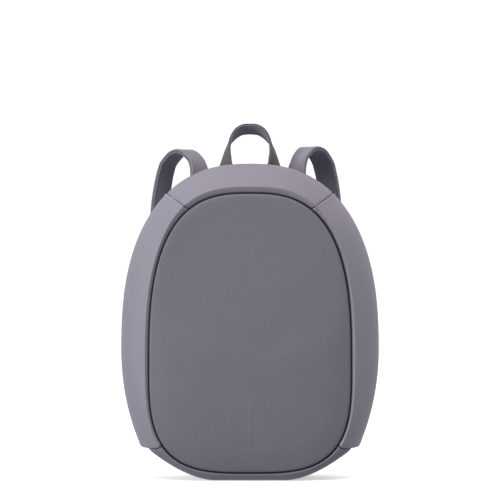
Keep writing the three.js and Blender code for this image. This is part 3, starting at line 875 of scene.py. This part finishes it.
# Back panel: foam pads under dark spacer mesh, quilted by one upright and two cross channels, and
# rounded off at the edge beside the zip.
PAD_GREY = (58, 57, 64)
PAD_CHANNEL = 3.2 * MM
PAD_CHANNEL_HALF = 6.5 * MM
PAD_CHANNEL_MOST = 0.6
PAD_CROSS_HEIGHTS = (125 * MM, 215 * MM)
PAD_CELL = 2.6 * MM
Dome = namedtuple("Dome", "share rise")
PAD_EDGE = [Dome(1.0, 0.06), Dome(0.998, 0.35), Dome(0.985, 0.62), Dome(0.955, 0.84), Dome(0.915, 0.96),
            Dome(0.87, 1.0)]
PAD_RINGS = 60
PAD_INNER_FACE = (0.45, 1.0)


def pad_sink(x, z):
    """How deep the quilting draws the pad in, as a share of the channel's full depth."""
    nearest = min(abs(x), *(abs(z - height) for height in PAD_CROSS_HEIGHTS))
    return math.exp(-nearest / PAD_CHANNEL_HALF)


def pad_ring(row):
    """A loop of the pad's outer face, drawn in where the quilting crosses it."""
    loop = [point_at(a, row.share * r, 0) for a, r in zip(angles, pad_reaches)]
    for corner in loop:
        full = row.rise * (pad_high.y - pad_low.y)
        corner.y = pad_low.y + full - min(PAD_CHANNEL, PAD_CHANNEL_MOST * full) * pad_sink(corner.x, corner.z)
    return loop


pad_mesh, pad_wire, pad_place, pad_shader = new_finish(
    "spacer_mesh", roughness=0.9, specular=0.15, sheen=0.1)
pad_flat = pad_wire.node("ShaderNodeMapping", (), {"Vector": pad_place, "Scale": (1.0, 0.0, 1.0)})
pad_cells = pad_wire.node("ShaderNodeTexVoronoi", (),
                          {"Vector": pad_flat, "Scale": 1 / PAD_CELL, "Randomness": 0.25})
pad_holes = rise(pad_cells, 0.16, 0.34)
pad_fuzz = noise(pad_wire, pad_place, 700.0, 3.0)
bumped(pad_holes + pad_fuzz * 0.3, 0.5 * MM, pad_shader)
toned(pad_holes * 0.8 + pad_fuzz * 0.2, PAD_GREY, 0.45, pad_shader)

pad_low, pad_high = node_box("back_panel")
pad_reaches = [reach_of(back_outline(TAPE_EDGE + TAPE_WIDTH + TAPE_EDGE), a) for a in angles]
pad_flat_rows = [Dome(PAD_EDGE[-1].share * (1 - i / PAD_RINGS), 1.0) for i in range(1, PAD_RINGS)]
pad_loops = [[point_at(a, share * r, pad_low.y) for a, r in zip(angles, pad_reaches)]
             for share in PAD_INNER_FACE]
pad_loops += [pad_ring(row) for row in smooth_rows(PAD_EDGE, 4) + pad_flat_rows]
pad_form = skin(pad_loops, "capped")
pad = place_closed("back_panel_padding", pad_form, pad_mesh)
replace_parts(pad, "back_panel")

# Grab handle: a flat band of darker leather with a soft lining on its under side. It twists as it rises,
# so that its under side shows at the arch, and both feet are sewn to the back.
HANDLE_WIDTH = 25 * MM
HANDLE_SPAN = 58 * MM
HANDLE_RISE = 40 * MM
HANDLE_FOOT = 46 * MM
HANDLE_LEAN = 22 * MM
HANDLE_THICK = 3 * MM
HANDLE_SPLIT = -0.2 * MM
HANDLE_LINING_NARROWER = 0.3 * MM
SEAT_GAP = 0.3 * MM
BODY_TOP = node_box("gusset_top")[1].z
LINING_GREY = (92, 90, 102)
HANDLE_GREY = (70, 69, 75)
Arch = namedtuple("Arch", "across up back turn dip")
HANDLE_ARCH = [
    Arch(0.00, 1.02, 1.00, 90, 0.39), Arch(0.30, 1.00, 0.98, 90, 0.39), Arch(0.52, 0.91, 0.94, 90, 0.38),
    Arch(0.65, 0.81, 0.88, 90, 0.31), Arch(0.76, 0.69, 0.79, 89, 0.16), Arch(0.83, 0.56, 0.69, 86, 0.04),
    Arch(0.89, 0.40, 0.56, 81, 0.00), Arch(0.93, 0.20, 0.39, 72, 0.00), Arch(0.94, -0.03, 0.21, 59, 0.00),
]
HANDLE_FEET = [Arch(0.81, -0.46, 0.02, 22, 0), Arch(0.67, -0.74, 0.00, 0, 0), Arch(0.64, -1.00, 0.00, 0, 0)]
RIBBON_STEPS = 220
ROUND_STEPS = 7
FLAT_PLACES = (0.55, 0.0, -0.55)
STITCH_FIRST = 0.01
STITCH_RUN = 0.98
Stop = namedtuple("Stop", "place way")


def curve_point(points, share):
    """A point on the smooth centripetal curve through given points."""
    last = len(points) - 1
    i = min(int(share * last), last - 1)
    t = share * last - i
    b, c = points[i], points[i + 1]
    a = points[i - 1] if i else 2 * b - c
    d = points[i + 2] if i + 2 <= last else 2 * c - b
    before, middle, after = (math.sqrt((q - p).length) for p, q in ((a, b), (b, c), (c, d)))
    middle = middle if middle > 1e-4 else 1.0
    before = before if before > 1e-4 else middle
    after = after if after > 1e-4 else middle
    start = ((b - a) / before - (c - a) / (before + middle) + (c - b) / middle) * middle
    end = ((c - b) / middle - (d - b) / (middle + after) + (d - c) / after) * middle
    return b + start * t + (3 * (c - b) - 2 * start - end) * t * t + (2 * (b - c) + start + end) * t ** 3


def ribbon_frame(stops, share):
    """The place on a ribbon's line, the ways along and across it, and the way out of its face."""
    places = [stop.place for stop in stops]
    step = 1e-4
    before = curve_point(places, max(share - step, 0))
    after = curve_point(places, min(share + step, 1))
    along = (after - before).normalized()
    face = along.cross(curve_point([stop.way for stop in stops], share)).normalized()
    return curve_point(places, share), along, face.cross(along).normalized(), face


def ribbon_section(width, low, high):
    """A flat band's section with rounded edges, as places across it and out of its face."""
    middle = (low + high) / 2
    radius = abs(high - low) / 2
    points = []
    for side in (1, -1):
        for i in range(ROUND_STEPS):
            turn = math.pi * (i / (ROUND_STEPS - 1) - 0.5)
            points.append((side * (width / 2 - radius + radius * math.cos(turn)),
                           middle + side * radius * math.sin(turn)))
        points += [(side * across * width / 2, middle + side * radius) for across in FLAT_PLACES]
    return points


def ribbon(name, stops, section, material):
    """A band of one section along a line of stops."""
    frames = [ribbon_frame(stops, i / RIBBON_STEPS) for i in range(RIBBON_STEPS + 1)]
    loops = [[place + side * across + face * out for across, out in section]
             for place, _, side, face in frames]
    along = [0.0]
    for a, b in zip(frames, frames[1:]):
        along.append(along[-1] + (b[0] - a[0]).length / MM)
    form = skin(loops, "capped", (round_lengths([(across, out, 0) for across, out in section]), along))
    return place_closed(name, form, material)


def ribbon_stitches(stops, across, out, facing):
    """Stops for a row of stitches on one face of a ribbon."""
    line = []
    for i in range(STITCH_STEPS):
        place, _, side, face = ribbon_frame(stops, STITCH_FIRST + STITCH_RUN * i / STITCH_STEPS)
        line.append((place + side * across + face * out, face * facing))
    return spaced(line, STITCH_PITCH)


def handle_stop(row, side):
    drop = HANDLE_RISE if row in HANDLE_ARCH else HANDLE_FOOT
    place = Vector((side * row.across * HANDLE_SPAN / 2,
                    BACK_PLANE + SEAT_GAP + HANDLE_THICK / 2 + row.back * HANDLE_LEAN,
                    BODY_TOP + row.up * drop))
    turn = math.radians(row.turn)
    return Stop(place, Vector((side * math.cos(turn), math.sin(turn), -row.dip)).normalized())


strap_leather = leather("strap_leather", SMOOTH_GREY, grain=0.7 * MM, relief=0.06 * MM,
                        roughness=0.55, contrast=0.10)
handle_leather = leather("handle_leather", HANDLE_GREY, grain=0.7 * MM, relief=0.06 * MM,
                         roughness=0.6, contrast=0.10)
soft_lining = fabric("soft_lining", LINING_GREY, 0.6 * MM, 0.05 * MM, 0.9, 0.12, sheen=0.1)
handle_rows = HANDLE_ARCH + HANDLE_FEET
handle_line = ([handle_stop(row, -1) for row in handle_rows[:0:-1]]
               + [handle_stop(row, 1) for row in handle_rows])
handle_outer = ribbon_section(HANDLE_WIDTH, HANDLE_SPLIT, HANDLE_THICK / 2)
handle_inner = ribbon_section(HANDLE_WIDTH - HANDLE_LINING_NARROWER, -HANDLE_THICK / 2, HANDLE_SPLIT)
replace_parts(ribbon("top_handle_leather", handle_line, handle_outer, handle_leather),
            "top_handle")
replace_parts(ribbon("top_handle_lining", handle_line, handle_inner, soft_lining),
            "top_handle")
handle_stops = []
for edge in (-1, 1):
    for facing in (-1, 1):
        handle_stops += ribbon_stitches(handle_line, edge * (HANDLE_WIDTH / 2 - STITCH_INSET),
                                        facing * HANDLE_THICK / 2, facing)
copies("handle_stitches", stitch_form(), handle_stops, thread)

# Shoulder straps: a leather ply and a dark soft lining, sewn together near both edges. Each is sewn
# flat to the back, springs up over the top edge in a loop, twists and falls to its slider.
STRAP_WIDTH = 29 * MM
STRAP_STAND_OFF = 46 * MM
STRAP_FOOT_DROP = 57 * MM
STRAP_DROP = 237 * MM
PLY_GAP = 0.15 * MM
STRAP_PLY = 2.0 * MM
LINING_PLY = 2.5 * MM
LINING_NARROWER = 0.5 * MM
Fold = namedtuple("Fold", "across up back left_turn right_turn")
Fit = namedtuple("Fit", "side foot spread rise turn")
STRAP_FOOT = [
    Fold(0.06, -1.00, 0.00, 0, 0), Fold(0.06, -0.72, 0.00, 2, 2), Fold(0.08, -0.42, 0.03, 24, 24),
    Fold(0.11, -0.19, 0.12, 50, 50),
]
STRAP_LOOP = [
    Fold(0.165, 0.09, 0.21, 56, 56), Fold(0.25, 0.52, 0.31, 56, 56), Fold(0.385, 0.90, 0.43, 56, 53),
    Fold(0.50, 1.00, 0.53, 56, 48), Fold(0.65, 0.84, 0.66, 56, 42), Fold(0.77, 0.47, 0.77, 56, 39),
    Fold(0.85, 0.13, 0.84, 56, 38), Fold(0.90, -0.27, 0.90, 56, 38),
]
STRAP_FALL = [
    Fold(0.95, -0.06, 0.95, 55, 38), Fold(1.03, -0.17, 1.00, 52, 37), Fold(1.04, -0.28, 1.00, 44, 34),
    Fold(1.03, -0.46, 0.95, 26, 24), Fold(1.00, -0.68, 0.80, 10, 10), Fold(0.98, -0.86, 0.59, 0, 0),
    Fold(0.97, -0.93, 0.50, 0, 0), Fold(0.97, -1.00, 0.42, 0, 0),
]
STRAP_FITS = {
    "left": Fit(-1, 50.5 * MM, 49.5 * MM, 16 * MM, "left_turn"),
    "right": Fit(1, 47 * MM, 42.5 * MM, 19 * MM, "right_turn"),
}


def strap_stops(fit):
    start = BACK_PLANE + SEAT_GAP + STRAP_PLY + PLY_GAP
    stops = []
    for rows, height in ((STRAP_FOOT, STRAP_FOOT_DROP), (STRAP_LOOP, fit.rise), (STRAP_FALL, STRAP_DROP)):
        for row in rows:
            turn = math.radians(getattr(row, fit.turn))
            place = Vector((fit.side * (fit.foot + row.across * fit.spread),
                            start + row.back * STRAP_STAND_OFF, BODY_TOP + row.up * height))
            stops.append(Stop(place, Vector((-fit.side * math.cos(turn), math.sin(turn), 0))))
    return stops


strap_lines = {name: strap_stops(fit) for name, fit in STRAP_FITS.items()}
strap_rows = []
lining_rows = []
for name, fit in STRAP_FITS.items():
    line = strap_lines[name]
    outer = fit.side * (PLY_GAP + STRAP_PLY)
    inner = -fit.side * (PLY_GAP + LINING_PLY)
    leather_ply = ribbon_section(STRAP_WIDTH, fit.side * PLY_GAP / 3, outer)
    lining_ply = ribbon_section(STRAP_WIDTH - LINING_NARROWER, inner, -fit.side * PLY_GAP / 3)
    strap = ribbon(f"shoulder_strap_{name}_leather", line, leather_ply, strap_leather)
    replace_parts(strap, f"shoulder_strap_{name}")
    lining = ribbon(f"strap_lining_{name}_cloth", line, lining_ply, soft_lining)
    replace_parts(lining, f"strap_lining_{name}")
    for edge in (-1, 1):
        across = edge * (STRAP_WIDTH / 2 - STITCH_INSET)
        strap_rows += ribbon_stitches(line, across, outer, fit.side)
        lining_rows += ribbon_stitches(line, across, inner, -fit.side)
copies("strap_stitches", stitch_form(), strap_rows, thread)
copies("lining_stitches", stitch_form(), lining_rows, thread)

# Strap sliders: plain plates of dark plastic, moulded with three bars. The strap ends at the top bar,
# and the webbing turns over the lowest.
SLIDER_WIDTH = 36 * MM
SLIDER_HEIGHT = 24 * MM
SLIDER_THICK = 3 * MM
SLIDER_BAR = 4 * MM
SLIDER_ROUND = 0.8 * MM


def strap_end(line):
    """The middle of a strap's slider, and the ways down along it and back from it."""
    place, down, _, _ = ribbon_frame(line, 1)
    down.x = 0
    down.normalize()
    return place + down * (SEAT_GAP + SLIDER_HEIGHT / 2), down, Vector((0, -down.z, down.y))


def slider_form(middle, down, rear):
    """A plate with two slots, laid at a strap's end."""
    form = bmesh.new()
    bmesh.ops.create_grid(form, x_segments=3, y_segments=5, size=1)
    inner = SLIDER_WIDTH / 2 - SLIDER_BAR
    bar = SLIDER_HEIGHT / 2 - SLIDER_BAR
    across = {1: inner, 3: SLIDER_WIDTH / 2}
    along = {1: SLIDER_BAR / 2, 3: bar, 5: SLIDER_HEIGHT / 2}
    for corner in form.verts:
        x, y = round(corner.co.x * 3), round(corner.co.y * 5)
        corner.co = Vector((math.copysign(across[abs(x)], x), math.copysign(along[abs(y)], y), 0))
    middles = {f: f.calc_center_median() for f in form.faces}
    slots = [f for f, m in middles.items() if abs(m.x) < inner / 2 and SLIDER_BAR / 2 < abs(m.y) < bar]
    bmesh.ops.delete(form, geom=slots, context="FACES")
    bmesh.ops.solidify(form, geom=form.faces[:], thickness=SLIDER_THICK)
    low = min(corner.co.z for corner in form.verts)
    bmesh.ops.translate(form, verts=form.verts, vec=(0, 0, -low - SLIDER_THICK / 2))
    turn = Matrix((Vector((1, 0, 0)), down, rear)).transposed().to_4x4()
    bmesh.ops.transform(form, matrix=Matrix.Translation(middle) @ turn, verts=form.verts)
    return form


for name, line in strap_lines.items():
    slider = place_closed(f"strap_adjuster_{name}_plate", slider_form(*strap_end(line)), dark_plastic,
                          smooth=False)
    rounding = slider.modifiers.new("rounding", "BEVEL")
    rounding.width = SLIDER_ROUND
    rounding.segments = 3
    rounding.limit_method = "ANGLE"
    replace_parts(slider, f"strap_adjuster_{name}")

# Lower webbing: narrow dark woven tape, sewn low on the back. It runs up in front of the slider,
# turns over its lowest bar and hangs down behind as a short hemmed tail.
WEBBING_GREY = (52, 51, 58)
WEBBING_WIDTH = 20 * MM
WEBBING_THICK = 1.4 * MM
WEBBING_SPACING = 176 * MM
WEBBING_FOOT = 42 * MM
WEBBING_FOOT_LENGTH = 18 * MM
WEBBING_CLEARANCE = 8 * MM
WEBBING_TAIL = 44 * MM


def webbing_stops(side, middle, down, rear):
    """Up from its foot in front of the slider, over the lowest bar and down behind it."""
    off = SLIDER_THICK / 2 + SEAT_GAP + WEBBING_THICK
    bar = SLIDER_HEIGHT / 2 - SLIDER_BAR
    seat = BACK_PLANE + SEAT_GAP + WEBBING_THICK / 2

    def foot(up, back):
        return Vector((side * WEBBING_SPACING / 2, seat + back, WEBBING_FOOT + up))

    def near(along, back):
        return middle + down * along + rear * back

    places = [foot(0, 0), foot(WEBBING_FOOT_LENGTH / 2, 0), foot(WEBBING_FOOT_LENGTH, WEBBING_THICK / 2),
              near(bar + WEBBING_CLEARANCE, -off), near(bar, -off), near(bar - off, 0), near(bar, off),
              near(bar + WEBBING_CLEARANCE, off), near(bar + WEBBING_TAIL, off + WEBBING_THICK)]
    return [Stop(place, Vector((-side, 0, 0))) for place in places]


webbing_cloth = weave("webbing_weave", WEBBING_GREY, 0.8, 0.15 * MM, 0.75, 1.6)
webbing_section = ribbon_section(WEBBING_WIDTH, -WEBBING_THICK / 2, WEBBING_THICK / 2)
for name, line in strap_lines.items():
    stops = webbing_stops(STRAP_FITS[name].side, *strap_end(line))
    webbing = ribbon(f"lower_webbing_{name}_weave", stops, webbing_section, webbing_cloth)
    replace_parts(webbing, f"lower_webbing_{name}")
